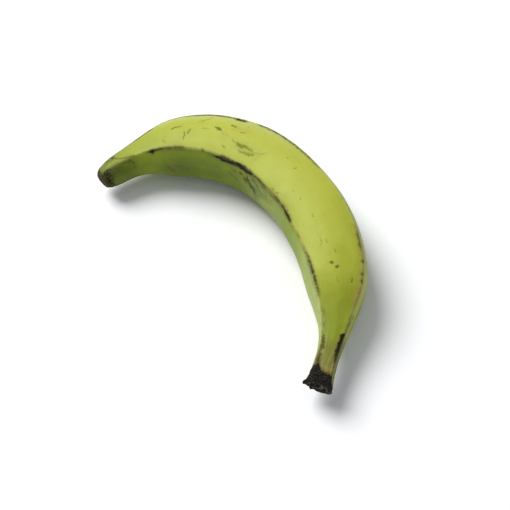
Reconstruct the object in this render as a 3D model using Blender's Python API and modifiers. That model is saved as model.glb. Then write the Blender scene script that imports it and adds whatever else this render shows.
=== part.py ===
"""One green plantain, whole, lying on its side on a level surface.

Metres, +Z up. The fruit's bend lies almost level: the blossom tip is towards -X, the cut stem
towards +X and the outside of the bend towards +Y. The origin is under the middle of its box.
"""

import math

import bmesh
import bpy
from mathutils import Matrix, Vector

MM = 0.001

# The spine is a chain of arcs from the blossom tip to the cut stem: length (mm), bend (degrees).
SPINE_ARCS = (
    (12, 5),  # blossom neck
    (112, 83.5),  # the tight half of the curve
    (44, 18.5),  # the belly, where the curve opens
    (56, 27.5),
    (14, 2),  # shoulder
    (24, 13.5),  # hook of the stem
    (25, -1),  # stub
)
START_HEADING = 90.5  # degrees from +X; the spine bends clockwise from here
# The fruit is a cage of rings strung on its spine, at these places (mm along it).
RING_PLACES = (0, 4, 12, 22, 34, 48, 64, 82, 102, 124, 146, 168, 190, 208, 224, 238, 250, 262, 274, 283, 287)

# How thick it is (mm): a belly that thins slowly towards both ends, drawn in at a shoulder to a
# neck that rounds off at the blossom tip, and at another to a stem that flares at its cut end.
BELLY_RADIUS = 22.3
BELLY_PLACE = 162
BELLY_TO_TIP = 250  # the belly alone would thin to nothing this far from its thickest place
BELLY_TO_STEM = 160
TIP_SHOULDER = (20, 53)
TIP_NECK_RADIUS = 9.7
TIP_RADIUS = 6.0
TIP_ROUNDING = 5.0
STEM_SHOULDER = (211, 268)
STEM_RADIUS = 7.0
STUB_FLARE = 1.8
STUB_FLARE_RUN = 25

# Section: five ridges, with a gently crowned face between each two.
# Angles run round the spine from the top of the fruit (0) towards the outside of the bend (90).
RIDGE_ANGLES = (52.0, 112.0, 168.0, 236.0, 315.0)
RIDGE_RISE = 1.04  # ridge points, as a share of the ring's radius
FACE_CROWN = 0.65  # 0 is a flat face between two ridges, 1 a round one
RIDGE_CREASE = 0.3
# The ridges wind a little along the fruit: mm along the spine, degrees.
WINDING = ((0, 24), (70, 6), (145, -7), (220, 5), (290, 0))

CUT_INSET = 0.72  # the cut face's inner ring, as a share of its rim
CUT_DISH = 1.2  # mm that the cut face sinks inside its rim
CUT_RIM_CREASE = 0.6

CAGE_SWELL = 1.06  # smoothing pulls the skin in from its cage by about this much
SMOOTHING = 2

# How the fruit settles on a level surface, the open side of its bend lowest.
REST_ROLL = 6.2  # degrees about +X
REST_PITCH = -0.5  # degrees about +Y

PEEL_COLOUR = (0.42, 0.50, 0.10, 1.0)
PEEL_ROUGHNESS = 0.45


def clear_scene():
    for obj in list(bpy.data.objects):
        bpy.data.objects.remove(obj)


def peel_material():
    material = bpy.data.materials.new("waxy_green_peel")
    material.use_nodes = True
    shader = material.node_tree.nodes["Principled BSDF"]
    shader.inputs["Base Color"].default_value = PEEL_COLOUR
    shader.inputs["Roughness"].default_value = PEEL_ROUGHNESS
    return material


def ease(value, low, high):
    """0 below low, 1 above high and a soft step between them."""
    step = min(max((value - low) / (high - low), 0.0), 1.0)
    return step * step * (3.0 - 2.0 * step)


def heading_at(along):
    """The spine's heading in degrees; it turns evenly along each arc."""
    heading = START_HEADING
    for length, bend in SPINE_ARCS:
        heading -= bend * min(max(along / length, 0.0), 1.0)
        along -= length
    return heading


def radius_at(along):
    """How thick the fruit is at this distance from the blossom tip, as a radius in mm."""
    from_belly = along - BELLY_PLACE
    reach = BELLY_TO_TIP if from_belly < 0 else BELLY_TO_STEM
    belly = BELLY_RADIUS * (1.0 - (from_belly / reach) ** 2)
    neck = TIP_NECK_RADIUS - (TIP_NECK_RADIUS - TIP_RADIUS) * math.exp(-along / TIP_ROUNDING)
    flare = max(along - RING_PLACES[-1] + STUB_FLARE_RUN, 0.0) / STUB_FLARE_RUN
    stem = STEM_RADIUS + STUB_FLARE * flare**3
    radius = neck + (belly - neck) * ease(along, *TIP_SHOULDER)
    return radius + (stem - radius) * ease(along, *STEM_SHOULDER)


def winding_at(along):
    """How far the ridges have turned, in degrees, at this distance from the blossom tip."""
    for (near, turn), (far, next_turn) in zip(WINDING, WINDING[1:]):
        if along <= far:
            return turn + (next_turn - turn) * (along - near) / (far - near)
    return WINDING[-1][1]


def section(radius, winding):
    """The ring's points as (outward, up): each ridge, then the middle of the face after it."""
    points = []
    for ridge, following in zip(RIDGE_ANGLES, RIDGE_ANGLES[1:] + (RIDGE_ANGLES[0] + 360.0,)):
        half_gap = (following - ridge) / 2.0
        flat = math.cos(math.radians(half_gap))
        crown = flat + FACE_CROWN * (1.0 - flat)
        for angle, share in ((ridge, RIDGE_RISE), (ridge + half_gap, crown)):
            turned = math.radians(angle + winding)
            reach = radius * CAGE_SWELL * share
            points.append((reach * math.sin(turned), reach * math.cos(turned)))
    return points


def ring_points():
    """The corner points of every ring, strung on the spine, in mm."""
    rings = []
    up = Vector((0.0, 0.0, 1.0))
    place, before = Vector((0.0, 0.0, 0.0)), 0.0
    for along in RING_PLACES:
        midway = math.radians((heading_at(before) + heading_at(along)) / 2.0)
        place = place + (along - before) * Vector((math.cos(midway), math.sin(midway), 0.0))
        before = along
        turned = math.radians(heading_at(along))
        outward = Vector((-math.sin(turned), math.cos(turned), 0.0))
        corners = section(radius_at(along), winding_at(along))
        rings.append([place + outward * out + up * rise for out, rise in corners])
    return rings


def add_ring(mesh, cap, points):
    """Extrudes the cap face on to the next ring and returns the new cap."""
    made = bmesh.ops.extrude_face_region(mesh, geom=[cap])["geom"]
    bmesh.ops.delete(mesh, geom=[cap], context="FACES_ONLY")
    cap = next(item for item in made if isinstance(item, bmesh.types.BMFace))
    for vert, point in zip(cap.verts, points):
        vert.co = point
    return cap


def fruit_cage(mesh):
    """Strings the rings on the spine; a face closes each end. Returns the rings and the last face."""
    rings = [[MM * point for point in ring] for ring in ring_points()]
    bmesh.ops.create_circle(mesh, cap_ends=True, segments=len(rings[0]), radius=MM)
    mesh.faces.ensure_lookup_table()
    cap = mesh.faces[0]
    for vert, point in zip(cap.verts, rings[0]):
        vert.co = point
    strung = [list(cap.verts)]
    for points in rings[1:]:
        cap = add_ring(mesh, cap, points)
        strung.append(list(cap.verts))
    mesh.faces.new(strung[0])
    return strung, cap


def dish_cut(mesh, cap):
    """Sinks the middle of the cut face a little inside its rim."""
    middle, inward = cap.calc_center_median(), -cap.normal
    sunk = inward * CUT_DISH * MM
    add_ring(mesh, cap, [middle.lerp(vert.co, CUT_INSET) + sunk for vert in cap.verts])


def crease_ridges(mesh, strung, layer):
    for ring, following in zip(strung, strung[1:]):
        for i in range(0, len(ring), 2):
            mesh.edges.get((ring[i], following[i]))[layer] = RIDGE_CREASE


def crease_rim(mesh, ring, layer):
    for i in range(len(ring)):
        mesh.edges.get((ring[i - 1], ring[i]))[layer] = CUT_RIM_CREASE


def plantain():
    mesh = bmesh.new()
    layer = mesh.edges.layers.float.new("crease_edge")
    strung, cap = fruit_cage(mesh)
    bmesh.ops.recalc_face_normals(mesh, faces=mesh.faces[:])
    dish_cut(mesh, cap)
    crease_ridges(mesh, strung, layer)
    crease_rim(mesh, strung[-1], layer)
    data = bpy.data.meshes.new("plantain")
    mesh.to_mesh(data)
    mesh.free()
    data.shade_smooth()
    data.materials.append(peel_material())
    fruit = bpy.data.objects.new("plantain", data)
    skin = fruit.modifiers.new("skin", "SUBSURF")
    skin.levels = SMOOTHING
    skin.render_levels = SMOOTHING
    return fruit


def set_down(fruit):
    """Turns the fruit as it rests, then puts its lowest point at Z 0 and its box over the origin."""
    roll = Matrix.Rotation(math.radians(REST_ROLL), 4, "X")
    pitch = Matrix.Rotation(math.radians(REST_PITCH), 4, "Y")
    fruit.matrix_world = pitch @ roll
    bpy.context.view_layer.update()
    skin = fruit.evaluated_get(bpy.context.evaluated_depsgraph_get())
    corners = [skin.matrix_world @ vert.co for vert in skin.data.vertices]
    low = Vector(min(corner[i] for corner in corners) for i in range(3))
    high = Vector(max(corner[i] for corner in corners) for i in range(3))
    fruit.location = (-(low.x + high.x) / 2.0, -(low.y + high.y) / 2.0, -low.z)


def main():
    clear_scene()
    group = bpy.data.collections.new("plantain")
    bpy.context.scene.collection.children.link(group)
    fruit = plantain()
    group.objects.link(fruit)
    set_down(fruit)


main()
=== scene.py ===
import math
import random

import bmesh
import bpy
import numpy as np
from mathutils import Matrix, Vector, noise


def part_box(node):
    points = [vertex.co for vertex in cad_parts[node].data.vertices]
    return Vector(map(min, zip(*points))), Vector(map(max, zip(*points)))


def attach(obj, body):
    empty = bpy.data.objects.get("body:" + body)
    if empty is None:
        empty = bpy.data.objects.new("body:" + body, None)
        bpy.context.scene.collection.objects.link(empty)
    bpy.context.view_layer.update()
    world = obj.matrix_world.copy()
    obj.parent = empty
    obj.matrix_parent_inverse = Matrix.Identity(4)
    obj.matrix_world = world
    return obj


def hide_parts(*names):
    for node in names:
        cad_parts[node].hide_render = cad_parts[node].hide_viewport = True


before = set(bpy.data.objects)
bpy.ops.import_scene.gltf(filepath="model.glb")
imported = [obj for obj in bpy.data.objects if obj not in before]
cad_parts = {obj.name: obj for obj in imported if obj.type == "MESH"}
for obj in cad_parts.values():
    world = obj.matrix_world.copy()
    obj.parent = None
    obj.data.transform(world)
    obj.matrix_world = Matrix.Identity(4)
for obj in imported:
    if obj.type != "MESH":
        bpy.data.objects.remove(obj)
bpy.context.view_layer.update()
mm = 0.001

# The whole fruit: a five-ridged body strung on a bent spine, laid on its side.
# Angles round the fruit run from its top (0) towards the outside of the bend (90).
fruit = {
    "ridges": (52, 112, 168, 236, 315),   # degrees round
    "ridgeRise": 1.04,                    # ridge corners, as a share of the radius
    "faceCrown": 0.65,                    # 0 flat faces, 1 a round section
    "swell": 1.06,                        # smoothing pulls the skin in by this much
    "ridgeCrease": 0.3,
    "startHeading": 90.5,                 # degrees from +X
    # the spine's arcs from the blossom tip on: mm long, degrees of bend
    "arcs": ((12, 5), (112, 83.5), (44, 18.5), (56, 27.5), (14, 2), (24, 13.5), (25, -1)),
    # where the rings of the cage sit, mm along
    "rings": (0, 4, 12, 22, 34, 41, 48, 56, 64, 73, 82, 92, 102, 113, 124, 135, 146, 157, 168, 179, 190, 199,
              208, 216, 224, 231, 238, 250, 262, 268, 274, 278.5, 283, 287),
    # radius, mm: the belly thins slowly both ways and is drawn in at a shoulder to each neck;
    # alone it would thin to nothing "toTip" and "toStem" away from its thickest place
    "belly": {"radius": 22.3, "place": 162, "toTip": 250, "toStem": 160},
    "tip": {"radius": 6.0, "neck": 9.7, "rounding": 5.0, "shoulder": (20, 53)},
    "stem": {"radius": 7.0, "flare": 1.3, "flareRun": 25, "shoulder": (211, 268)},
    # mm along, degrees the ridges turn; then how much further the inner one does
    "winding": ((0, 24), (70, 6), (145, -7), (220, 5), (290, 0)),
    "innerRidgeDrift": ((0, 16), (8, 15), (14, 11), (22, 7), (32, 5), (46, 2), (60, 0), (118, 0), (132, 3),
                        (152, 3), (159, 1.8), (166, -0.8), (171, -1.8), (182, -1.8), (200, -1.5), (240, -1.5),
                        (265, 0)),
    "innerRidgeSpan": 26,                 # degrees round that the drift reaches
    # inset and rise in mm of each ring of the blossom scar, and of the cut end of the stem
    "tipScar": ((1.9, 0.5), (2.0, -0.8)),
    "cutFace": ((1.3, 0.2), (2.6, -0.9), (2.6, 0.5)),
    "spineStep": 0.5,                     # mm between the points that trace the spine
    "creaseReach": (2, 1.5),              # degrees off a ridge, least mm along, of an edge that is creased
    "smoothing": 4,
    "roll": 6.2,                          # how it settles, degrees about +X and +Y
    "pitch": -0.5,
}


def linearColour(hexColour):
    channels = [int(hexColour[i:i + 2], 16) / 255 for i in (1, 3, 5)]
    return [c / 12.92 if c <= 0.04045 else ((c + 0.055) / 1.055) ** 2.4 for c in channels] + [1.0]


def ease(value, low, high):
    # 0 below low, 1 above high and a soft step between them
    step = np.clip((value - low) / (high - low), 0, 1)
    return step * step * (3 - 2 * step)


def between(value, comes, goes):
    # 1 between two soft ends
    return ease(value, *comes) * (1 - ease(value, *goes))


def bell(gap, width):
    # 1 at no gap, falling off softly both ways
    return np.exp(-(gap / width) ** 2)


def table(pairs, along, column=1):
    return np.interp(along, [p[0] for p in pairs], [p[column] for p in pairs])


def headingAt(along):
    # the spine turns evenly along each arc, degrees from +X
    lengths, bends = zip(*fruit["arcs"])
    return fruit["startHeading"] - np.interp(along, np.cumsum((0,) + lengths), np.cumsum((0,) + bends))


def radiusAt(along):
    belly, tip, stem = fruit["belly"], fruit["tip"], fruit["stem"]
    reach = belly["toTip"] if along < belly["place"] else belly["toStem"]
    radius = belly["radius"] * (1 - ((along - belly["place"]) / reach) ** 2)
    neck = tip["neck"] - (tip["neck"] - tip["radius"]) * math.exp(-along / tip["rounding"])
    flare = max(along - fruit["rings"][-1] + stem["flareRun"], 0) / stem["flareRun"]
    radius = neck + (radius - neck) * ease(along, *tip["shoulder"])
    return radius + (stem["radius"] + stem["flare"] * flare ** 3 - radius) * ease(along, *stem["shoulder"])


def spineTable():
    # along, x, y and heading at every step down the spine
    step = fruit["spineStep"]
    along = np.arange(0, fruit["rings"][-1] + step / 2, step)
    heading = np.radians(headingAt(along))
    middle = (heading[1:] + heading[:-1]) / 2
    x = np.concatenate(([0], np.cumsum(step * np.cos(middle))))
    y = np.concatenate(([0], np.cumsum(step * np.sin(middle))))
    return along, x, y, heading


spineAlong, spineX, spineY, spineHeading = spineTable()
fruitLength = spineAlong[-1]

blockSize = 4000       # points straightened at a time, to spare memory
farOutside = -50.0     # mm, where no mark is near
strokeReach = 8        # mm along within which a stroke is felt


def straighten(points):
    # mm in the bent fruit to along, outward and up in the straight one
    along, outward = np.empty(len(points)), np.empty(len(points))
    for start in range(0, len(points), blockSize):
        block = points[start:start + blockSize]
        gapX, gapY = block[:, 0:1] - spineX, block[:, 1:2] - spineY
        nearest = np.argmin(gapX ** 2 + gapY ** 2, axis=1)
        row = np.arange(len(block))
        gapX, gapY, heading = gapX[row, nearest], gapY[row, nearest], spineHeading[nearest]
        ahead = gapX * np.cos(heading) + gapY * np.sin(heading)
        along[start:start + blockSize] = spineAlong[nearest] + ahead
        outward[start:start + blockSize] = gapY * np.cos(heading) - gapX * np.sin(heading)
    return along, outward, points[:, 2].copy()


def bendBack(along, outward, up):
    inside = np.clip(along, 0, fruitLength)
    past = along - inside
    heading = np.interp(inside, spineAlong, spineHeading)
    x = np.interp(inside, spineAlong, spineX) + past * np.cos(heading) - outward * np.sin(heading)
    y = np.interp(inside, spineAlong, spineY) + past * np.sin(heading) + outward * np.cos(heading)
    return np.column_stack((x, y, up))


def sectionCorners():
    # angle round in degrees and share of the radius: each ridge and the middle of the face after it
    corners = []
    ridges = fruit["ridges"]
    for ridge, following in zip(ridges, ridges[1:] + (ridges[0] + 360,)):
        flat = math.cos(math.radians(following - ridge) / 2)
        corners.append((ridge, fruit["ridgeRise"]))
        corners.append(((ridge + following) / 2, flat + fruit["faceCrown"] * (1 - flat)))
    return corners


def selectFaces(piece, wanted):
    # in edit mode: selects the faces that wanted(face) accepts
    mesh = bmesh.from_edit_mesh(piece.data)
    for face in mesh.faces:
        face.select_set(False)
    mesh.select_flush(False)
    for face in mesh.faces:
        if wanted(face):
            face.select_set(True)
    bmesh.update_edit_mesh(piece.data)


def buildCage():
    # a ten-sided disc at the blossom tip, extruded from ring to ring along the spine
    rings = fruit["rings"]
    heading = math.radians(headingAt(0))
    forward = Vector((math.cos(heading), math.sin(heading), 0))
    outward = Vector((-forward.y, forward.x, 0))
    facing = Matrix((outward, (0, 0, 1), forward)).transposed()
    corners = sectionCorners()
    bpy.ops.object.select_all(action="DESELECT")
    bpy.ops.mesh.primitive_circle_add(vertices=len(corners), radius=radiusAt(0) * mm, fill_type="NGON",
                                      rotation=facing.to_euler())
    piece = bpy.context.object
    piece.name = piece.data.name = "greenPlantain"
    bpy.ops.object.transform_apply(location=True, rotation=True, scale=True)
    for vert, (angle, share) in zip(piece.data.vertices, reversed(corners)):
        turned = math.radians(angle)
        reach = radiusAt(0) * share * fruit["swell"] * mm
        vert.co = reach * (math.sin(turned) * outward + math.cos(turned) * Vector((0, 0, 1)))

    bpy.ops.object.mode_set(mode="EDIT")
    bpy.ops.mesh.select_mode(type="FACE")
    bpy.ops.mesh.select_all(action="SELECT")
    place = Vector((0, 0, 0))
    for before, along in zip(rings, rings[1:]):
        bend = math.radians(headingAt(before) - headingAt(along))
        midway = heading - bend / 2
        step = Vector((math.cos(midway), math.sin(midway), 0)) * (along - before) * mm
        place += step
        heading -= bend
        grow = radiusAt(along) / radiusAt(before)
        bpy.ops.mesh.extrude_region_move(TRANSFORM_OT_translate={"value": step})
        bpy.ops.transform.rotate(value=bend, orient_axis="Z", center_override=place)
        bpy.ops.transform.resize(value=(grow, grow, grow), center_override=place)

    # the last face is the cut end of the stem, then the first one is the blossom scar
    for inset, rise in fruit["cutFace"]:
        bpy.ops.mesh.inset(thickness=inset * mm, depth=rise * mm)
    selectFaces(piece, lambda face: len(face.verts) > 4 and face.calc_center_median().length < mm)
    for inset, rise in fruit["tipScar"]:
        bpy.ops.mesh.inset(thickness=inset * mm, depth=rise * mm)

    creaseRidges(piece)
    bpy.ops.object.mode_set(mode="OBJECT")
    return piece


def creaseRidges(piece):
    # every second corner of a ring is a ridge; its lengthwise edges keep a soft edge under smoothing
    bpy.ops.mesh.select_mode(type="EDGE")
    bpy.ops.mesh.select_all(action="DESELECT")
    mesh = bmesh.from_edit_mesh(piece.data)
    points = np.array([vert.co for vert in mesh.verts]) / mm
    along, outward, up = straighten(points)
    angle = np.degrees(np.arctan2(outward, up)) % 360
    off, leastStep = fruit["creaseReach"]
    for edge in mesh.edges:
        a, b = (vert.index for vert in edge.verts)
        onRidge = any(max(abs(angle[a] - ridge), abs(angle[b] - ridge)) < off for ridge in fruit["ridges"])
        if onRidge and abs(along[a] - along[b]) > leastStep:
            edge.select_set(True)
    bmesh.update_edit_mesh(piece.data)
    bpy.ops.transform.edge_crease(value=fruit["ridgeCrease"])


def smoothCage(piece):
    skin = piece.modifiers.new("skin", "SUBSURF")
    skin.levels = skin.render_levels = fruit["smoothing"]
    bpy.ops.object.modifier_apply(modifier=skin.name)


def meshPoints(piece):
    flat = np.empty(len(piece.data.vertices) * 3)
    piece.data.vertices.foreach_get("co", flat)
    return flat.reshape(-1, 3) / mm


def setPoints(piece, points):
    piece.data.vertices.foreach_set("co", (points * mm).ravel())
    piece.data.update()


def grain(points, size, octaves=2):
    # smooth noise from -1 to 1 with lumps of this size, mm
    return np.array([noise.fractal(Vector(p / size), 1.0, 2.0, octaves) for p in points])


# What the peel picked up in growing and handling, in mm along and degrees round.
marks = {
    # cork along each ridge: mm along, half width in mm, mm off the ridge (minus is back round) and
    # how black it has dried, from 0 brown to 1
    "ridgeCork": {
        315: ((0, -0.6, 0, 0), (30, -0.6, 0, 0), (34.5, 0.4, -0.6, 0.8), (37, 1.2, -1.1, 0.8),
              (40, 0.7, -0.8, 0.7), (44, 0.6, -0.5, 0.6), (48, 0.6, -0.4, 0.1), (60, 0.5, 0, 0.1),
              (63, -0.6, 0, 0), (73, -0.6, 0, 0), (75, 0.7, -0.4, 0.5), (78, -0.6, -1, 0.5),
              (84, 0.2, -2.6, 0.4), (89, 0.8, -2.4, 0.9), (92, 1.9, -2.4, 1), (98, 1.7, -2.3, 1),
              (103, 1.4, -1.9, 1), (108, 1.7, -1.1, 1), (115, 1.6, -0.9, 1), (119, 1.3, -0.8, 0.9),
              (123, 0.8, -0.9, 0.7), (126, 0.5, -0.9, 0.5), (130, 0.8, -0.9, 0.5), (134, 0.3, -0.8, 0.5),
              (137, 0.7, -0.8, 0.5), (142, -0.1, -0.4, 0.3), (147, 0.4, 0, 0.3), (150, 0.8, 0, 0.4),
              (153.5, 0.6, 0, 0.4), (155.5, -0.1, 0, 0.3), (158, 0.9, 0, 0.5), (161, 0.7, 0.1, 0.6),
              (163.5, 1.1, -0.2, 0.7), (167, 1.2, -0.1, 0.95), (171, 1.1, -0.3, 1), (174, 0.1, -0.6, 0.6),
              (180, -0.1, -0.6, 0.1), (186, 0.5, -0.3, 0.3), (189, -0.3, 0, 0.1), (198, 0, -0.6, 0.2),
              (204, 0.4, 0, 0.4), (211, 0.7, 0.2, 0.65), (222, 0.7, 0.5, 0.6), (228, 0.3, 0.9, 0.4),
              (232, -0.5, 1, 0), (266, -0.5, 0, 0), (269, 0.8, 1.6, 0.4), (275, 0.8, 1.6, 0.6),
              (290, 0.5, 0, 1)),
        52: ((8, -0.3, 0, 0.4), (12, 0.9, -1, 0.7), (15, 0.5, -1, 0.5), (25, 0.5, -1, 0.4),
             (30, 0.8, -1.3, 0.5), (40, 0.7, -1.3, 0.5), (46, 0.1, -1, 0.3), (58, 0.1, -1, 0.2),
             (67, 0.6, -1.3, 0.4), (82, 0.6, -1.3, 0.4), (87, 0.1, -1.4, 0.3), (90, 1.0, -2, 0.9),
             (95, 0.8, -2, 0.9), (97, -0.8, -2, 0.2), (100, -0.8, -1, 0.2), (103, 0.5, -0.7, 0.35),
             (126, 0.5, -0.6, 0.4), (146, 0.4, 0.3, 0.4), (152, -0.8, 0, 0), (188, -0.8, 0, 0),
             (195, 0.6, -0.3, 0), (199, 0.2, -0.5, 0.1), (202, 0.6, -0.6, 0), (205, -0.4, 0, 0),
             (209.3, -0.5, 0, 0.2), (211, 1.1, 0, 0.4), (213, -0.6, 0, 0), (216.5, -0.5, 0, 0.1),
             (218, 0.8, 0, 0.3), (219.5, -0.5, 0, 0.2), (221.7, 1.1, 0.2, 0.4), (224, -0.3, 0.6, 0),
             (228, 0, 1, 0), (232, -0.8, 0, 0), (252.3, -0.8, 0, 0), (253.3, 1.1, -0.4, 1),
             (254.5, 1.6, -0.7, 1), (256, 1.3, -0.6, 1), (258.5, 1.2, -0.6, 0.8), (261, 1.2, -0.6, 0.75),
             (264, 1.3, -0.4, 0.65), (269, 1.0, -0.3, 0.5), (275, 0.2, 0.3, 0.3), (290, 0.4, 0, 1)),
        112: ((10, 0, 0, 0.3), (16, 0.6, 0, 0.6), (24, -0.4, 0, 0), (46, 0.3, 0, 0.1), (70, 0.5, 0, 0.3),
              (76, 1.4, 0.6, 0.9), (92, 1.6, 0.8, 1), (98, 0.2, 0, 0.3), (120, -0.6, 0, 0),
              (128, 0.5, 0, 0.2), (150, 0.9, -0.4, 0.7), (158, -0.5, 0, 0), (180, 0.3, 0, 0.1),
              (206, 0.7, 0, 0.4), (214, 1.3, 0.3, 0.9), (222, 0.2, 0, 0.2), (244, -0.3, 0, 0),
              (258, 0.9, 0, 0.5), (290, 0.8, 0, 1)),
        168: ((10, 0.2, 0, 0.3), (20, 0.7, 0, 0.5), (30, -0.6, 0, 0), (52, 0.2, 0, 0.1), (60, 1.5, 0, 0.9),
              (68, 1.3, 0, 0.7), (74, -0.2, 0, 0), (104, 0.4, 0, 0.1), (132, 0.6, 0, 0.4),
              (138, 1.8, -0.5, 1), (152, 1.6, -0.5, 0.9), (158, 0.1, 0, 0.1), (196, 0.5, 0, 0.2),
              (232, 0.3, 0, 0.1), (252, 0.7, 0, 0.4), (290, 0.9, 0, 1)),
        236: ((10, 0.3, 0, 0.4), (18, 0.8, 0, 0.5), (28, 0.1, 0, 0.1), (60, 0.3, 0, 0.2), (96, 0.2, 0, 0.1),
              (104, 0.7, 0, 0.6), (112, -0.4, 0, 0), (148, -0.4, 0, 0), (156, 0.5, 0, 0.3),
              (172, 0.3, 0, 0.1), (196, -0.3, 0, 0), (226, 0.2, 0, 0.1), (256, 0.8, 0, 0.5),
              (290, 0.7, 0, 1)),
    },
    # dried scratches and specks: strength, then mm along, degrees round and half width in mm at each point
    "dry": (
        (0.65, (53, 6, 0.6), (55, 9, 0.9), (59.5, 11, 0.3)),
        (0.55, (61, 353, 0.3), (61, 340, 0.5), (60, 331, 0.3)),
        (0.55, (65, 360, 0.4), (64, 353, 0.5), (63, 346, 0.3)),
        (0.35, (50, 350, 0.3), (48, 343, 0.35), (46, 334, 0.3), (48, 325, 0.3)),
        (0.45, (70, 23, 0.5), (72, 27, 0.4), (75, 33, 0.3), (77, 41, 0.3)),
        (0.3, (73, 3, 0.4), (78, 4, 0.4)), (0.8, (81, 9, 0.8), (83, 6.5, 1.1), (84.5, 4, 0.7)),
        (0.65, (89.5, 24, 0.7), (92, 23, 0.9)), (0.4, (90, 12, 0.5), (92, 13, 0.6)),
        (0.3, (85, 356, 0.4), (91, 356, 0.3)), (0.5, (96.5, 13, 0.5), (99, 15, 0.7)),
        (0.35, (94, 350, 0.4), (97, 344, 0.5)), (0.45, (89.5, 331, 0.6), (92, 328, 0.5)),
        (0.6, (98.5, 345, 0.8), (101, 343, 1.4), (104, 344, 0.9)),
        (0.6, (103.5, 346, 0.8), (106, 346, 1.1)), (0.45, (107.5, 345, 0.7), (110.5, 346, 1.0)),
        (0.4, (102.5, 333, 0.7), (107, 335, 0.8)),
        (0.5, (107.5, 335, 0.8), (110.5, 336, 1.0), (113, 340, 0.9)),
        (0.3, (113, 346, 0.4), (115, 349, 0.4)), (0.25, (116, 346, 0.5), (120, 359, 0.4)),
        (0.4, (132, 20, 0.6), (132.5, 21, 0.6)), (0.5, (141, 16, 0.5), (141.5, 20, 0.5)),
        (0.35, (99, 33, 0.5), (99.5, 34, 0.5)), (0.3, (154, 346, 0.5), (154.5, 347, 0.5)),
        (0.4, (162, 346, 0.6), (162.5, 346, 0.6)), (0.4, (176.5, 350, 0.5), (178, 350, 0.5)),
        (0.35, (192, 346, 0.4), (196, 343, 0.3), (200, 340, 0.4)), (0.25, (196, 353, 0.5), (198, 353, 0.5)),
        (0.3, (204, 3, 0.6), (205.5, 4, 0.5)), (0.85, (211.5, 348, 0.3), (212, 352.5, 1.1)),
        (0.8, (215, 0, 0.8), (214.5, 4.5, 0.7)), (0.25, (221, 359, 0.5), (224, 1, 0.5)),
        (0.6, (221, 32, 0.5), (223.5, 33, 0.6)), (0.35, (235, 47, 0.4), (235.5, 48, 0.4)),
        (0.42, (242, 52, 0.6), (246.5, 53, 1.1), (252, 55, 1.1)), (0.4, (236, 53, 0.5), (236.5, 53, 0.5)),
        (0.85, (256.5, 324, 0.4), (260, 326, 1.0), (264.5, 330, 1.2)),
        (0.6, (265.5, 325, 0.7), (269, 322, 0.8), (273, 324, 0.9)),
        (0.45, (268, 330, 0.6), (272, 337, 0.8)),
        (0.75, (109, 298, 0.5), (111, 300, 1.1), (113.5, 299, 0.6)),
        (0.85, (115, 294, 1.0), (117, 292, 1.3)),
        (0.95, (118.2, 300, 0.9), (119.8, 296, 1.7), (120.6, 293, 0.8)),
        (0.9, (122, 292, 1.0), (123.6, 287, 1.6)),
        (0.9, (125.5, 289, 0.8), (127, 285, 1.6), (128, 281, 0.5)),
        (0.45, (98.5, 284, 0.7), (102.5, 281, 0.9)), (0.45, (103.5, 281, 0.7), (107, 276, 0.9)),
        (0.4, (103, 295, 0.5), (106, 297, 0.7)), (0.45, (123.5, 306, 0.6), (126, 304, 1.0)),
        (0.45, (127, 303, 0.7), (130, 300, 1.0), (133, 297, 0.7)),
        (0.5, (126.5, 276, 0.8), (129, 277, 1.1)), (0.4, (130, 278, 0.7), (133, 279, 0.8)),
        (0.35, (127, 269, 0.7), (128, 262, 0.8)), (0.4, (133, 308, 0.7), (136, 309, 0.9)),
        (0.4, (137.5, 305, 0.7), (141, 303, 0.9)), (0.35, (113, 308, 0.6), (118, 304, 0.9)),
        (0.35, (142, 320, 0.7), (149, 322, 0.7)), (0.3, (215, 309, 0.4), (224, 306, 0.5)),
        (0.45, (22, 303, 0.4), (22.5, 294, 0.5), (21.5, 281, 0.4)),
        (0.6, (20.5, 308, 0.6), (21.5, 299, 0.4)),
        # the fold that runs across the blossom neck, and the dark nicks beyond it
        (0.65, (14, 28, 0.6), (14, 8, 0.7), (16, 342, 0.65), (19, 322, 0.6), (25, 315, 0.6)),
        (1.0, (13.5, 42, 1.0), (13.5, 26, 1.2), (13, 13, 0.7)),
        (0.6, (9, 42, 1.0), (10, 24, 1.2), (11.5, 13, 0.5)), (0.5, (5, 18, 0.5), (8, 12, 0.7)),
        (0.4, (3, 352, 0.4), (6, 346, 0.4)),
    ),
    # strokes drawn by chance on the faces turned down: "turn" is in radians, "taper" the share of its
    # width left at a stroke's end and "spread" the degrees round for each mm that it turns aside
    "hidden": {"count": 26, "seed": 4, "along": (26, 250), "around": (64, 234), "length": (2, 3, 9, 14),
               "turn": (-1, 1), "width": (0.35, 0.9), "strength": (0.4, 0.9), "taper": 0.5, "spread": 3},
    # warm stains under the skin: strength, then as above
    "tan": (
        (0.55, (190, 50, 1.0), (205, 51, 1.7), (218, 52, 2.0)),
        (0.85, (216, 52, 1.6), (226, 54, 2.2), (234, 54, 1.4)), (0.25, (94, 22, 2.5), (99, 19, 2.5)),
        (0.6, (98, 15, 0.7), (100, 16, 0.8)), (0.5, (93, 22, 1.6), (94, 20, 1.6)),
        (0.5, (276.5, 12, 0.5), (277.3, 28, 0.7), (277, 42, 0.4)), (0.35, (157, 323, 1.0), (163, 321, 1.0)),
        (0.25, (174, 317, 0.8), (186, 318, 0.9), (194, 317, 0.5)), (0.25, (136, 319, 0.6), (148, 321, 1.2)),
        (0.35, (49, 262, 1.4), (52, 260, 1.6)),
    ),
    # rubbed places, streaked olive brown: strength, then as above
    "smudges": (
        (0.75, (112, 313, 0.8), (125, 312, 1.4), (137, 312, 1.5), (147, 314, 1.6), (160, 315, 1.2)),
        (0.35, (102, 300, 0.6), (114, 297, 1.2), (122, 290, 1.6), (129, 268, 1.0)),
        (0.4, (118, 306, 1.0), (130, 303, 1.6), (143, 305, 1.2)), (0.2, (97, 285, 0.8), (107, 289, 1.0)),
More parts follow.
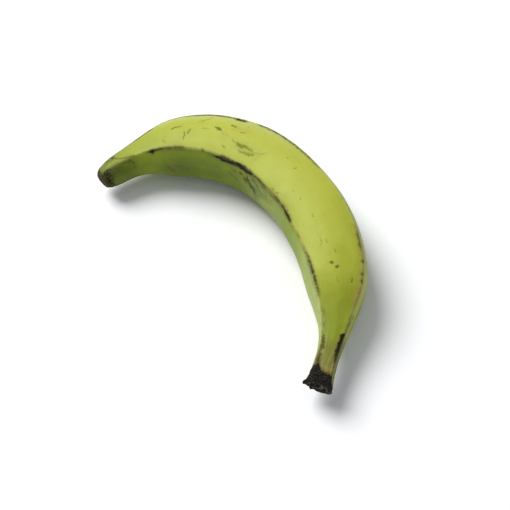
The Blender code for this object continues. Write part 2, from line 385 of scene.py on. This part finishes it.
        (0.5, (196, 314, 0.8), (214, 314, 1.6), (231, 316, 1.0)),
        (0.6, (44, 266, 0.9), (47, 262, 1.5), (50, 250, 1.2)),
        (0.25, (80, 305, 1.0), (100, 302, 1.4), (112, 303, 1.0)), (0.3, (48, 262, 2), (62, 262, 1.5)),
        (0.8, (263, 317, 0.7), (268, 317, 0.9), (275, 328, 1.5)), (0.7, (254, 63, 0.7), (270, 62, 1.0)),
        (0.5, (256, 88, 0.5), (265, 98, 0.8), (272, 98, 0.5)), (0.3, (152, 320, 1.0), (172, 316, 1.0)),
        (0.5, (240, 320, 0.7), (258, 322, 1.0)), (0.25, (236, 52, 0.5), (246, 53, 1.1), (252, 54, 1.0)),
        (0.3, (104, 293, 2.5), (126, 293, 4.0), (146, 300, 3.0)),
        (0.5, (5, 300, 2.0), (12, 302, 1.5), (20, 303, 1.0)), (0.5, (45, 312, 0.9), (62, 312, 0.6)),
    ),
    # pale places, minus for dark ones: how much paler, then as above
    "shades": (
        (0.22, (28, 302, 3), (60, 303, 3), (84, 303, 2)), (-0.15, (44, 252, 5), (62, 255, 5), (88, 258, 3)),
        (0.25, (134, 268, 3), (146, 290, 3)), (0.12, (94, 292, 2), (112, 290, 3)),
        (-0.14, (90, 348, 4), (104, 343, 4)), (0.12, (64, 328, 3), (88, 326, 3)),
        (0.1, (150, 36, 4), (165, 36, 4)), (-0.1, (140, 322, 3), (176, 322, 3)),
        (0.2, (8, 336, 1.5), (12, 334, 2)), (0.16, (222, 66, 4), (236, 68, 4)),
        (0.2, (243, 44, 2), (254, 44, 2)), (0.4, (230, 66, 3), (240, 70, 3), (252, 76, 3)),
        (-0.1, (206, 16, 4), (228, 26, 3)), (-0.14, (102, 341, 3), (116, 341, 3)),
        (0.16, (172, 300, 3), (202, 302, 3)), (0.12, (88, 303, 2), (128, 303, 2)),
        (0.14, (5, 346, 2), (22, 346, 3)), (-0.16, (2, 325, 1.5), (22, 325, 1.5)),
    ),
    # where the black of the blossom scar ends and that of the cut stem begins: degrees round, mm along
    "tipEdge": ((0, 1.0), (40, 2.5), (60, 4), (110, 5), (170, 5), (230, 4), (262, 3.5), (285, 4.5),
                (300, 6), (314, 5.5), (324, 2), (335, 1.2), (360, 1.0)),
    "stubEdge": ((0, 278.8), (28, 280.3), (46, 279.5), (58, 280.5), (68, 284), (105, 284), (125, 279),
                 (170, 276), (210, 277), (250, 276), (290, 278), (309, 278.5), (321, 276), (333, 274.8),
                 (345, 276), (360, 278.8)),
    "scarFace": (1.5, 7.5),               # nearer the end and the middle than this, mm, it is all scar
    # mm inside a stroke's edge at which it begins to show and is full
    "softness": {"tan": (-2.5, 1.5), "smudges": (-1.6, 1.0), "shades": (-4, 3)},
    # whitish bloom, rubbed off the top: strength, then mm along where it comes and goes. The first lies
    # on the outer ridge, at these degrees round and this far to each side, the others on the faces turned
    # down, where the pale colour is partly wax bloom and partly a painted sheen of light glancing off the wax
    "outerBloom": (0.42, (28, 60), (95, 150)),
    "outerBand": (50, 16),
    "shadeBloomAndSheen": ((0.35, (165, 238), (262, 274)), (0.17, (106, 128), (150, 175))),
    # the face beside the inner ridge is cooler: by how much, degrees round, reach
    "cooler": (0.4, 328, 14),
    # where the neck dries brown, mm along, and the side that stays green, as above
    "dryNeck": (254, 275),
    "greenNeck": (0.85, 84, 26),
    # how far a face is painted paler, against darker for the faces turned down: degrees round, share; then mm
    # along, tone of the paler faces and of the darker ones, from 0 deep green to 1 pale. This is partly the
    # peel's own paling in the sun and partly painted light and painted shade, deepest on the faces turned
    # down towards the tip
    "sunPaledAndLit": ((0, 1.0), (50, 1.0), (58, 0.9), (106, 0.85), (118, 0.5), (164, 0.4), (174, 0.12), (236, 0),
               (311, 0), (318, 1.0), (360, 1.0)),
    "topTone": ((0, 0.02), (13, 0.05), (15, 0.22), (20, 0.3), (28, 0.52), (46, 0.74), (60, 0.86), (75, 1),
                (130, 1), (160, 0.95), (216, 0.92), (226, 0.7), (235, 0.5), (247, 0.46), (256, 0.32),
                (268, 0.12), (290, 0.1)),
    "shadeTone": ((0, 0), (14, 0.08), (24, 0.18), (32, 0.34), (46, 0.32), (56, 0.22), (128, 0.25),
                  (145, 0.42), (180, 0.36), (205, 0.5), (220, 0.62), (250, 0.6), (264, 0.35), (290, 0.25)),
}


def angleGap(angle, other):
    return (angle - other + 180) % 360 - 180


def strokeField(along, angle, radius, stroke):
    # mm inside the stroke's edge, negative outside it
    inside = np.full(len(along), farOutside)
    for (s0, a0, w0), (s1, a1, w1) in zip(stroke, stroke[1:]):
        near = np.flatnonzero((along > min(s0, s1) - strokeReach) & (along < max(s0, s1) + strokeReach))
        arc = math.radians(1) * radius[near]
        across, down = angleGap(angle[near], a0) * arc, along[near] - s0
        acrossEnd, downEnd = angleGap(a1, a0) * arc, s1 - s0
        share = np.clip((across * acrossEnd + down * downEnd) / (acrossEnd ** 2 + downEnd ** 2), 0, 1)
        gap = np.hypot(across - share * acrossEnd, down - share * downEnd)
        inside[near] = np.maximum(inside[near], w0 + share * (w1 - w0) - gap)
    return inside


def hiddenStrokes():
    # more of the same on the faces turned down, by chance but the same each time
    hidden = marks["hidden"]
    draw = random.Random(hidden["seed"])
    strokes = []
    for _ in range(hidden["count"]):
        along, around = draw.uniform(*hidden["along"]), draw.uniform(*hidden["around"])
        length, turn = draw.choice(hidden["length"]), draw.uniform(*hidden["turn"])
        width = draw.uniform(*hidden["width"])
        endAlong = along + length * math.cos(turn)
        endAround = around + hidden["spread"] * length * math.sin(turn)
        end = (endAlong, endAround, width * hidden["taper"])
        strokes.append((draw.uniform(*hidden["strength"]), (along, around, width), end))
    return tuple(strokes)


def strongest(kind, along, angle, radius):
    # how strong the strongest stroke of this kind is at each point, with soft edges
    felt = np.zeros(len(along))
    for strength, *stroke in marks[kind]:
        inside = strokeField(along, angle, radius, stroke)
        felt = np.maximum(felt, strength * ease(inside, *marks["softness"][kind]))
    return felt


def peelFields(along, angle, radius):
    # what the material paints with, at each point: mm inside a mark's edge, or a strength
    crest = np.full(len(along), np.inf)
    cork, charred = np.full(len(along), farOutside), np.zeros(len(along))
    for ridge, band in marks["ridgeCork"].items():
        off = angleGap(angle, ridge) * math.radians(1) * radius
        crest = np.minimum(crest, np.abs(off))
        inside = table(band, along) - np.abs(off - table(band, along, 2))
        charred = np.where(inside > cork, table(band, along, 3), charred)
        cork = np.maximum(cork, inside)
    dry, dryStrength = np.full(len(along), farOutside), np.zeros(len(along))
    for strength, *stroke in marks["dry"] + hiddenStrokes():
        inside = strokeField(along, angle, radius, stroke)
        dryStrength = np.where(inside > dry, strength, dryStrength)
        dry = np.maximum(dry, inside)

    # faces turned up are painted paler and faces turned down darker: partly the peel's own paling, partly
    # painted light and shade
    sunPaledAndLit = table(marks["sunPaledAndLit"], angle)
    tone = sunPaledAndLit * table(marks["topTone"], along) + (1 - sunPaledAndLit) * table(marks["shadeTone"], along)
    for amount, *stroke in marks["shades"]:
        tone += amount * ease(strokeField(along, angle, radius, stroke), *marks["softness"]["shades"])
    less, place, reach = marks["cooler"]
    warmth = sunPaledAndLit - less * bell(angleGap(angle, place), reach)
    place, reach = marks["outerBand"]
    strength, comes, goes = marks["outerBloom"]
    bloomAndSheen = strength * bell(angleGap(angle, place), reach) * between(along, comes, goes)
    # on the faces turned down the pale colour is partly wax bloom and partly a painted sheen of glancing
    # light
    for strength, comes, goes in marks["shadeBloomAndSheen"]:
        bloomAndSheen += strength * (1 - sunPaledAndLit) * between(along, comes, goes)

    less, place, reach = marks["greenNeck"]
    dryNeck = ease(along, *marks["dryNeck"]) * (1 - less * bell(angleGap(angle, place), reach))
    end, middle = marks["scarFace"]
    scar = np.where(along < end, middle - radius, farOutside)
    return {
        "cork": cork, "charred": charred, "crest": crest, "dry": dry, "dryStrength": dryStrength,
        "tan": strongest("tan", along, angle, radius), "smudge": strongest("smudges", along, angle, radius),
        "tone": tone, "warmth": warmth, "bloomAndSheen": bloomAndSheen, "dryNeck": dryNeck,
        "tip": np.maximum(table(marks["tipEdge"], angle) - along, scar),
        "stub": along - table(marks["stubEdge"], angle),
    }


# Relief that smoothing alone leaves out, in mm. A pair is where something begins and is full, in mm
# along. Noise drawn out lengthwise has its mm along multiplied by "alongShare".
relief = {
    "body": ((14, 40), (236, 262)),       # where it comes and goes
    "neck": (232, 262),
    "slowLumps": {"size": 24, "alongShare": 0.7, "height": 0.30},
    "smallLumps": {"size": 8, "height": 0.10},
    "fibres": {"size": 2.6, "alongShare": 0.12, "height": 0.06, "onNeck": 0.16, "bodyLoss": 0.7},
    "bead": {"width": 1.5, "height": 0.10, "onBody": 0.25},
    "corkSink": 0.16,
    "corkEdge": (-0.4, 0.8),              # mm inside the edge of the cork
    "tip": (9, 1.5),                      # corky towards the end
    "stubEdge": (-1.5, 2.5),              # mm inside the edge of the stub
    # grit: lump size, height, and how far the noise is moved, to draw another part of it
    "tipGrit": ((3.0, 0.35, 0), (1.1, 0.16, 40)),
    "stubGrit": ((3.4, 0.55, 0), (1.3, 0.38, 20)),
    # a knob at one corner of the cut end, and a torn flap across from it
    "knob": {"along": 286.2, "around": 284, "length": 1.5, "width": 2.0, "height": 2.1, "jut": 1.6},
    "flap": {"along": 287, "around": 126, "length": 1.3, "width": 1.8, "height": 2.1},
    # the frayed middle of the cut end: mm along, mm from its middle, and the furrow across it, as
    # the share it takes, mm outward and width
    "frayed": {"along": (285.8, 287.2), "radius": (7.0, 4.6), "furrow": (0.8, -0.3, 1.0)},
    # how rough the end is torn, and how far it slants towards one side at this radius
    "tear": {"along": (280, 287), "size": 2.4, "depth": 0.8, "slant": 0.5, "towards": 75, "radius": 9},
    "core": 4,                            # nearer the middle than this all relief fades out
}


def lumpAt(along, angle, radius, lump):
    # 1 at the top of a small lump on the peel, falling off within its length and width
    across = angleGap(angle, lump["around"]) * math.radians(1) * radius
    return bell(along - lump["along"], lump["length"]) * bell(across, lump["width"])


def shapePeel(piece):
    # the fruit is held straight while its peel is shaped, and then bent back
    along, outward, up = straighten(meshPoints(piece))
    angle = np.degrees(np.arctan2(outward, up)) % 360
    radius = np.hypot(outward, up)
    straight = np.column_stack((along, outward, up))
    fields = peelFields(along, angle, radius)

    # the skin: a fine bead on each ridge, slow lumps and the fibres that show through at the neck
    onBody, onNeck = between(along, *relief["body"]), ease(along, *relief["neck"])
    slow, small, fibres, bead = (relief[name] for name in ("slowLumps", "smallLumps", "fibres", "bead"))
    lumps = grain(straight * (slow["alongShare"], 1, 1), slow["size"]) * slow["height"]
    lumps += grain(straight, small["size"]) * small["height"]
    threads = grain(straight * (fibres["alongShare"], 1, 1), fibres["size"])
    threads *= (fibres["height"] + fibres["onNeck"] * onNeck) * (1 - fibres["bodyLoss"] * onBody)
    rise = (bead["height"] + bead["onBody"] * onBody) * bell(fields["crest"], bead["width"])
    rise += onBody * lumps + threads
    rise -= relief["corkSink"] * ease(fields["cork"], *relief["corkEdge"]) * onBody

    # the blossom tip is corky, and the stub is gritty with a knob at one corner and a flap at another
    onTip, onStub = ease(along, *relief["tip"]), ease(fields["stub"], *relief["stubEdge"])
    for share, grit in ((onTip, relief["tipGrit"]), (onStub, relief["stubGrit"])):
        for size, height, moved in grit:
            rise += share * grain(straight + moved, size) * height
    knob = lumpAt(along, angle, radius, relief["knob"])
    flap = lumpAt(along, angle, radius, relief["flap"])
    rise += relief["knob"]["height"] * knob + relief["flap"]["height"] * flap

    # its end is frayed in the middle, torn uneven and slanted
    frayed = relief["frayed"]
    less, place, width = frayed["furrow"]
    fraying = ease(along, *frayed["along"]) * ease(radius, *frayed["radius"])
    fields["frayed"] = np.clip(fraying * (1 - less * bell(outward - place, width)) + flap, 0, 1)
    tear = relief["tear"]
    slant = tear["slant"] * np.cos(np.radians(angle - tear["towards"])) * radius / tear["radius"]
    torn = grain(np.column_stack((outward, up, 0 * up)), tear["size"], 3) * tear["depth"] + slant
    moved = along + ease(along, *tear["along"]) * torn + relief["knob"]["jut"] * knob

    # the ridges wind along the fruit, and the inner one drifts down its face
    reach = radius + rise * np.clip(radius / relief["core"], 0, 1)
    drift = bell(angleGap(angle, fruit["ridges"][-1]), fruit["innerRidgeSpan"])
    turn = table(fruit["winding"], along) + table(fruit["innerRidgeDrift"], along) * drift
    turned = np.radians(angle + turn)
    setPoints(piece, bendBack(moved, reach * np.sin(turned), reach * np.cos(turned)))

    for name, values in fields.items():
        layer = piece.data.attributes.new(name, "FLOAT", "POINT")
        layer.data.foreach_set("value", values.astype(np.float32))
    layer = piece.data.attributes.new("straight", "FLOAT_VECTOR", "POINT")
    layer.data.foreach_set("vector", straight.astype(np.float32).ravel())


def setDown(piece, smooth):
    # turned as it rests, with the box of the smooth body where the solid's box is
    pitch = Matrix.Rotation(math.radians(fruit["pitch"]), 3, "Y")
    roll = Matrix.Rotation(math.radians(fruit["roll"]), 3, "X")
    tilt = np.array(pitch @ roll)
    body = smooth @ tilt.T
    low, high = (np.array(corner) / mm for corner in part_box("plantain"))
    shift = (low + high) / 2 - (body.min(axis=0) + body.max(axis=0)) / 2
    points = meshPoints(piece) @ tilt.T + shift
    points[:, 2] -= points[:, 2].min()
    setPoints(piece, points)


print("fruit: cage")
plantain = buildCage()
smoothCage(plantain)
smoothBody = meshPoints(plantain)
print("fruit: ridges, neck, scar and stub")
shapePeel(plantain)
setDown(plantain, smoothBody)
bpy.ops.object.shade_smooth()
print("fruit has", len(plantain.data.polygons), "faces")


# Unripe plantain peel: a waxy green skin, paler where it faces the light and darker where it is turned down,
# partly its own paling and partly painted light and shade, with brown-black cork wherever a ridge was rubbed,
# a corky blossom scar and a dried, torn stem.
peel = {
    # from deep green to pale, for the faces turned down and for the warmer ones that face the light; the two
    # differ partly by the peel's own paling and partly by painted light and shade
    "greens": {"shaded": ("#59690A", "#77890F", "#8E9E22", "#A2B040"),
               "sunPaledAndLit": ("#65680F", "#828C18", "#979F27", "#AAAF38")},
    "paints": {
        # crest is a painted highlight along the ridges
        "bloomAndSheen": "#BCC49C", "neckBrown": "#7B7440", "crest": "#C3C47A", "scratch": "#474A10",
        "rubbed": "#4B4A1C", "tan": "#A08236", "cork": "#1C1A07", "neckCork": "#261C06",
        "corkGrey": "#615E3B", "corkBrown": "#58501C", "corkRim": "#6E6828", "stubBlack": "#0B0A08",
        # fleck serves both the pale fibre flecks of the cut end and painted glints of light on the black stub
        "stubBrown": "#241E13", "fibreFlecksAndGlints": "#79755E", "tipBrown": "#423E1A",
    },
    # what shapePeel left at each point
    "fields": ("tone", "warmth", "dryNeck", "bloomAndSheen", "crest", "tan", "smudge", "dry", "dryStrength", "cork",
               "charred", "tip", "stub", "frayed"),
    # noise: how it is read, size of its lumps in mm, detail, roughness. "straight" is held straight,
    # "lengthwise" is that drawn out along the fruit, and "surface" is the fruit as it lies
    "noises": {
        "clouds": ("surface", 22, 2, 0.5),          # slow changes of the green
        "patches": ("surface", 7, 3, 0.5),
        "mottle": ("surface", 1.6, 2, 0.5),
        "hues": ("surface", 15, 2, 0.5),
        "pores": ("surface", 0.7, 2, 0.5),          # really about 0.1 mm, drawn coarser so that they show
        "streaks": ("lengthwise", 1.1, 3, 0.6),     # wax fibres, also drawn coarser than they are
        "rub": ("lengthwise", 0.8, 3, 0.65),
        "fibres": ("lengthwise", 0.5, 2, 0.6),
        "drying": ("lengthwise", 0.9, 3, 0.5),
        "ragged": ("straight", 1.2, 3, 0.6),        # uneven edges of the marks
        "corkEdge": ("straight", 2.2, 3, 0.6),
        "charring": ("straight", 2.6, 2, 0.5),
        "tipEdge": ("straight", 2.2, 3, 0.65),
        "stubEdge": ("straight", 2.0, 3, 0.65),
        "grit": ("straight", 0.8, 3, 0.7),          # crumbs of the cork
        "glintNoise": ("straight", 0.7, 2, 0.6),
        "tatters": ("straight", 1.5, 3, 0.7),
    },
    "lengthwise": 0.06,                             # the along share of noise drawn out lengthwise
    # a field is made uneven by a noise, plus or minus this much
    "frays": (
        ("tone", "clouds", 0.16), ("tone", "patches", 0.13), ("tone", "mottle", 0.06),
        ("tone", "streaks", 0.09), ("warmth", "hues", 0.7), ("dry", "ragged", 1.5),
        ("cork", "corkEdge", 1.2), ("cork", "fibres", 0.45), ("cork", "grit", 0.5),
        ("charred", "charring", 0.3), ("tip", "tipEdge", 1.8), ("stub", "stubEdge", 1.8),
    ),
    # soft steps: source, where it is 0, where it reaches its top, top
    "steps": {
        "neckStreaks": ("streaks", 0, 0.65, 0.75),
        "bloomStreaks": ("streaks", 0.1, 0.85, 1.5),
        # a painted highlight along each ridge, where its bead catches the light
        "bead": ("crest", 1.5, 0.3, 0.35),
        "pastTip": ("along", 22, 50, 1),
        "tanPatches": ("patches", 0.3, 0.6, 1),
        "rubStreaks": ("rub", 0.36, 0.6, 1.3),
        "dryInside": ("dry", -0.45, 0.45, 1),
        "dryRough": ("dry", -0.45, 0.45, 0.6),
        "corkInside": ("cork", -0.45, 0.6, 1),
        "olive": ("cork", -1.5, 0.1, 0.65),
        "beforeNeck": ("along", 250, 240, 1),
        "dryingStreaks": ("drying", 0.44, 0.68, 1),
        "young": ("charred", 0.75, 0.2, 1),
        "corkShows": ("charred", -0.7, 0.7, 1),
        "tipInside": ("tip", -3, 2.5, 0.9),
        "tipDark": ("tip", -3, 1.5, 0.9),
        "tipSpecks": ("ragged", 0.46, 0.58, 1),
        "stubInside": ("stub", -0.5, 0.7, 1),
        "stubRim": ("stub", -2.4, 0, 0.85),
        "stubGrit": ("grit", 0.45, 0.7, 1),
        # grey specks over the whole stub: painted glints of light on the black grit
        "paintedGlints": ("glintNoise", 0.6, 0.7, 0.4),
        "tatterFlecks": ("tatters", 0.47, 0.63, 1),
    },
    "products": {
        "browned": ("dryNeck", "neckStreaks"), "bloomAndSheenShown": ("bloomAndSheen", "bloomStreaks"),
        "paintedRidgeHighlight": ("bead", "pastTip"), "tanned": ("tan", "tanPatches"), "worn": ("smudge", "rubStreaks"),
        "scratched": ("dryInside", "dryStrength"), "scratchedRough": ("dryRough", "dryStrength"),
        "greyed": ("dryingStreaks", "beforeNeck"), "corked": ("corkInside", "corkShows"),
        "specked": ("tipSpecks", "tipDark"), "tattered": ("frayed", "tatterFlecks"),
    },
    # each ground and the coats painted over it in turn, with the share that shows
    "layers": (
        ("charcoal", "neckCork", (("cork", "beforeNeck"), ("corkGrey", "greyed"), ("corkBrown", "young"))),
        ("torn", "stubBlack", (("stubBrown", "stubGrit"), ("fibreFlecksAndGlints", "paintedGlints"), ("fibreFlecksAndGlints", "tattered"))),
        ("skin", "green", (
            ("neckBrown", "browned"), ("bloomAndSheen", "bloomAndSheenShown"), ("crest", "paintedRidgeHighlight"), ("tan", "tanned"),
            ("rubbed", "worn"), ("scratch", "scratched"), ("corkRim", "olive"), ("charcoal", "corked"),
            ("tipBrown", "tipInside"), ("stubBlack", "specked"), ("corkBrown", "stubRim"),
            ("torn", "stubInside"))),
    ),
    "dryParts": ("corkInside", "stubInside", "tipInside", "scratchedRough"),
    # the wax is half glossy and dry cork is dull, both uneven by this much
    "waxRoughness": 0.55, "corkRoughness": 1.0, "unevenRoughness": 0.06,
    "ior": 1.4, "specular": 0.45,
    # fine relief: what it follows, strength, height in mm
    "bumps": (("pores", 0.35, 0.05), ("streaks", 0.4, 0.12), ("crumbs", 0.8, 0.5)),
}


def addNode(tree, kind, settings=None, inputs=None, output=0):
    # one node with its settings and links; an input takes a value or another node's output
    node = tree.nodes.new("ShaderNode" + kind)
    for name, value in (settings or {}).items():
        setattr(node, name, value)
    for name, value in (inputs or {}).items():
        if isinstance(value, bpy.types.NodeSocket):
            tree.links.new(value, node.inputs[name])
        else:
            node.inputs[name].default_value = value
    return node.outputs[output]


def makePeel():
    material = bpy.data.materials.new("unripePlantainPeel")
    material.use_nodes = True
    tree = material.node_tree
    shader = tree.nodes["Principled BSDF"]

    # what the marks and the noise are read from, in mm: the fruit as it lies, and held straight
    onPoints = {"attribute_type": "GEOMETRY"}
    straight = addNode(tree, "Attribute", {"attribute_name": "straight", **onPoints}, None, "Vector")
    lying = addNode(tree, "TexCoord", output="Object")
    drawnOut = {0: straight, 1: (peel["lengthwise"], 1, 1)}
    places = {
        "straight": straight,
        "surface": addNode(tree, "VectorMath", {"operation": "SCALE"}, {0: lying, "Scale": 1 / mm}),
        "lengthwise": addNode(tree, "VectorMath", {"operation": "MULTIPLY"}, drawnOut),
    }
    shares = {"along": addNode(tree, "SeparateXYZ", None, {0: straight}, "X")}
    for name in peel["fields"]:
        shares[name] = addNode(tree, "Attribute", {"attribute_name": name, **onPoints}, None, "Fac")
    for name, (place, size, detail, roughness) in peel["noises"].items():
        lumps = {"Vector": places[place], "Scale": 1 / size, "Detail": detail, "Roughness": roughness}
        shares[name] = addNode(tree, "TexNoise", None, lumps, "Fac")

    for name, noiseName, size in peel["frays"]:
        spread = {0: shares[noiseName], 1: 2 * size, 2: -size}
        uneven = addNode(tree, "Math", {"operation": "MULTIPLY_ADD"}, spread)
        shares[name] = addNode(tree, "Math", {"operation": "ADD"}, {0: shares[name], 1: uneven})
    for name, (source, low, high, top) in peel["steps"].items():
        ends = {"Value": shares[source], "From Min": low, "From Max": high, "To Min": 0, "To Max": top}
        shares[name] = addNode(tree, "MapRange", {"interpolation_type": "SMOOTHSTEP"}, ends, "Result")
    for name, (one, other) in peel["products"].items():
        shares[name] = addNode(tree, "Math", {"operation": "MULTIPLY"}, {0: shares[one], 1: shares[other]})

    # the two greens, then every coat over its ground
    greens = {}
    for name, hexColours in peel["greens"].items():
        greens[name] = addNode(tree, "ValToRGB", None, {"Fac": shares["tone"]}, "Color")
        elements = greens[name].node.color_ramp.elements
        elements[0].color, elements[1].color = linearColour(hexColours[0]), linearColour(hexColours[-1])
        for i in range(1, len(hexColours) - 1):
            elements.new(i / (len(hexColours) - 1)).color = linearColour(hexColours[i])
    colours = {name: linearColour(hexColour) for name, hexColour in peel["paints"].items()}
    mixed = {"data_type": "RGBA"}
    both = {0: shares["warmth"], 6: greens["shaded"], 7: greens["sunPaledAndLit"]}
    colours["green"] = addNode(tree, "Mix", mixed, both, 2)
    for name, ground, coats in peel["layers"]:
        colours[name] = colours[ground]
        for coat, share in coats:
            over = {0: shares[share], 6: colours[name], 7: colours[coat]}
            colours[name] = addNode(tree, "Mix", mixed, over, 2)
    tree.links.new(colours["skin"], shader.inputs["Base Color"])

    # dull and crumbled where it is dry
    dry = shares[peel["dryParts"][0]]
    for part in peel["dryParts"][1:]:
        dry = addNode(tree, "Math", {"operation": "MAXIMUM"}, {0: dry, 1: shares[part]})
    shares["crumbs"] = addNode(tree, "Math", {"operation": "MULTIPLY"}, {0: dry, 1: shares["grit"]})
    ends = {"Value": dry, "To Min": peel["waxRoughness"] - peel["unevenRoughness"],
            "To Max": peel["corkRoughness"] - peel["unevenRoughness"]}
    dull = addNode(tree, "MapRange", None, ends, "Result")
    uneven = {0: shares["patches"], 1: 2 * peel["unevenRoughness"], 2: dull}
    tree.links.new(addNode(tree, "Math", {"operation": "MULTIPLY_ADD"}, uneven), shader.inputs["Roughness"])
    shader.inputs["IOR"].default_value = peel["ior"]
    shader.inputs["Specular IOR Level"].default_value = peel["specular"]

    normal = {}
    for name, strength, height in peel["bumps"]:
        follows = {"Strength": strength, "Distance": height * mm, "Height": shares[name], **normal}
        normal = {"Normal": addNode(tree, "Bump", None, follows)}
    tree.links.new(normal["Normal"], shader.inputs["Normal"])
    return material


print("peel")
plantain.data.materials.clear()
plantain.data.materials.append(makePeel())
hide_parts("plantain")
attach(plantain, "root")

# A plain pale floor and soft light from high on the tip's side
studio = {
    "floor": "#F4F4F4", "floorSize": 6.0, "floorDrop": 0.0002, "floorRoughness": 0.9,
    "azimuth": 48, "elevation": 56, "distance": 0.845, "lens": 95.9,   # degrees, metres, mm
    "target": (0.0084, -0.0157, 0.0138),
    "keyPlace": (-2.45, -0.25, 2.85), "keySize": 2.5, "keyPower": 165,
    "skyColour": "#F5F9FF", "skyStrength": 0.42,
}


def buildStudio():
    bpy.ops.object.select_all(action="DESELECT")
    bpy.ops.mesh.primitive_plane_add(size=studio["floorSize"], location=(0, 0, -studio["floorDrop"]))
    floor = bpy.context.object
    floor.name = "floor"
    bpy.ops.object.transform_apply(location=True, rotation=True, scale=True)
    paint = bpy.data.materials.new("paleMattFloor")
    paint.use_nodes = True
    shader = paint.node_tree.nodes["Principled BSDF"]
    shader.inputs["Base Color"].default_value = linearColour(studio["floor"])
    shader.inputs["Roughness"].default_value = studio["floorRoughness"]
    floor.data.materials.append(paint)

    target = Vector(studio["target"])
    azimuth, elevation = math.radians(studio["azimuth"]), math.radians(studio["elevation"])
    level = math.cos(elevation)
    back = Vector((math.sin(azimuth) * level, -math.cos(azimuth) * level, math.sin(elevation)))
    bpy.ops.object.camera_add(location=target + back * studio["distance"],
                              rotation=back.to_track_quat("Z", "Y").to_euler())
    camera = bpy.context.object
    camera.data.lens = studio["lens"]
    bpy.context.scene.camera = camera

    place = Vector(studio["keyPlace"])
    bpy.ops.object.light_add(type="AREA", location=place, rotation=place.to_track_quat("Z", "Y").to_euler())
    key = bpy.context.object.data
    key.shape, key.size, key.energy = "DISK", studio["keySize"], studio["keyPower"]

    world = bpy.data.worlds.new("studioSky")
    world.use_nodes = True
    sky = world.node_tree.nodes["Background"]
    sky.inputs["Color"].default_value = linearColour(studio["skyColour"])
    sky.inputs["Strength"].default_value = studio["skyStrength"]
    bpy.context.scene.world = world
    bpy.context.scene.view_settings.view_transform = "Standard"


print("studio")
buildStudio()
